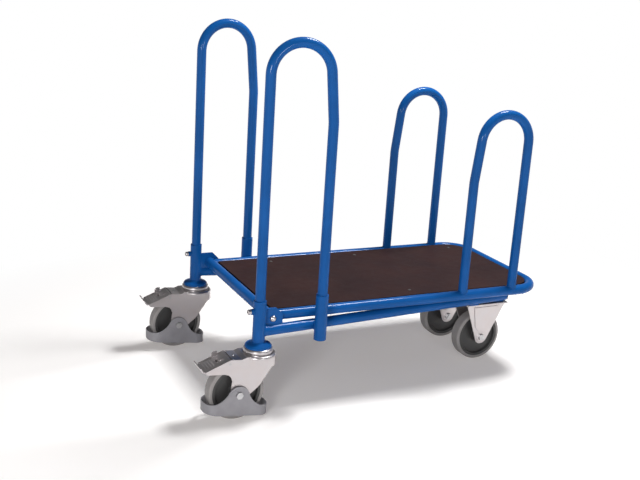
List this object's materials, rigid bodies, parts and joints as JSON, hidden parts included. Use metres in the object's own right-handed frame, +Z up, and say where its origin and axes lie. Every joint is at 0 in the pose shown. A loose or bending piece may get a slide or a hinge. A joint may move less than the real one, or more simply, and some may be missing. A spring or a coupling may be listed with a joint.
{
  "type": "long goods platform truck",
  "caption": "Nestable four-wheeled truck with a hinged flat platform between upright tube hoops, for moving long goods by hand",
  "frame": {"origin": "on the floor under the middle of the truck's bounding box", "axes": "+X towards the fixed castors, +Y to the truck's far side in the picture, +Z up"},
  "size_m": [1.151, 0.644, 1.032],
  "materials": {
    "blue_coat": "glossy blue powder coat",
    "zinc": "bright zinc plate, slightly satin",
    "steel": "plain turned steel",
    "black_plastic": "black plastic",
    "black_rubber": "black rubber",
    "guard_grey": "grey moulded plastic",
    "tyre_grey": "grey thermoplastic rubber tread",
    "deck_brown": "dark brown film faced plywood"
  },
  "bodies": {
    "chassis": {"corner_post_near": "blue_coat", "corner_post_far": "blue_coat", "castor_flange_near": "blue_coat", "castor_flange_far": "blue_coat", "second_post_near": "blue_coat", "second_post_far": "blue_coat", "second_post_tabs": "blue_coat", "side_rail_near": "blue_coat", "side_rail_far": "blue_coat", "cross_member_front": "blue_coat", "cross_member_back": "blue_coat", "castor_inserts": "steel", "rail_caps": "black_plastic", "rest_buffers": "black_rubber", "hinge_bracket_near": "blue_coat", "hinge_bracket_far": "blue_coat", "hinge_bolts": "zinc", "clamp_bosses": "blue_coat", "clamp_bolts": "zinc", "tall_hoop_near": "blue_coat", "tall_hoop_far": "blue_coat", "stem_nuts": "zinc", "swivel_stem_near": "zinc", "swivel_stem_far": "zinc", "fixed_fork_near": "zinc", "fixed_fork_far": "zinc", "fixed_axle_near": "steel", "fixed_axle_far": "steel", "castor_bolts": "zinc"},
    "platform": {"hinge_tube": "blue_coat", "hinge_plugs": "steel", "platform_loop": "blue_coat", "deck_supports": "blue_coat", "deck_board": "deck_brown", "deck_screws": "black_plastic", "short_hoop_near": "blue_coat", "short_hoop_far": "blue_coat"},
    "swivel_near": {"swivel_fork_near": "zinc", "foot_guard_near": "guard_grey", "swivel_axle_near": "steel", "brake_pin_near": "steel", "brake_rivet_near": "steel"},
    "brake_near": {"brake_pedal_near": "zinc"},
    "swivel_wheel_near": {"swivel_tyre_near": "tyre_grey", "swivel_core_near": "black_plastic"},
    "fixed_wheel_near": {"fixed_tyre_near": "tyre_grey", "fixed_core_near": "black_plastic"},
    "swivel_far": {"swivel_fork_far": "zinc", "foot_guard_far": "guard_grey", "swivel_axle_far": "steel", "brake_pin_far": "steel", "brake_rivet_far": "steel"},
    "brake_far": {"brake_pedal_far": "zinc"},
    "swivel_wheel_far": {"swivel_tyre_far": "tyre_grey", "swivel_core_far": "black_plastic"},
    "fixed_wheel_far": {"fixed_tyre_far": "tyre_grey", "fixed_core_far": "black_plastic"}
  },
  "joints": [
    {"name": "platform_hinge", "type": "hinge", "parent": "chassis", "child": "platform", "pos_m": [-0.36, 0, 0.273], "axis": [0, -1, 0], "range_deg": [0, 75]},
    {"name": "swivel_turn_near", "type": "hinge", "parent": "chassis", "child": "swivel_near", "pos_m": [-0.402, -0.272, 0.19], "axis": [0, 0, 1], "continuous": true},
    {"name": "swivel_wheel_turn_near", "type": "hinge", "parent": "swivel_near", "child": "swivel_wheel_near", "pos_m": [-0.466, -0.272, 0.08], "axis": [0, 1, 0], "continuous": true},
    {"name": "brake_press_near", "type": "hinge", "parent": "swivel_near", "child": "brake_near", "pos_m": [-0.494, -0.272, 0.171], "axis": [0, -1, 0], "range_deg": [0, 12]},
    {"name": "fixed_wheel_turn_near", "type": "hinge", "parent": "chassis", "child": "fixed_wheel_near", "pos_m": [0.432, -0.1, 0.08], "axis": [0, 1, 0], "continuous": true},
    {"name": "swivel_turn_far", "type": "hinge", "parent": "chassis", "child": "swivel_far", "pos_m": [-0.402, 0.272, 0.19], "axis": [0, 0, 1], "continuous": true},
    {"name": "swivel_wheel_turn_far", "type": "hinge", "parent": "swivel_far", "child": "swivel_wheel_far", "pos_m": [-0.466, 0.272, 0.08], "axis": [0, 1, 0], "continuous": true},
    {"name": "brake_press_far", "type": "hinge", "parent": "swivel_far", "child": "brake_far", "pos_m": [-0.494, 0.272, 0.171], "axis": [0, -1, 0], "range_deg": [0, 12]},
    {"name": "fixed_wheel_turn_far", "type": "hinge", "parent": "chassis", "child": "fixed_wheel_far", "pos_m": [0.432, 0.1, 0.08], "axis": [0, 1, 0], "continuous": true}
  ]
}
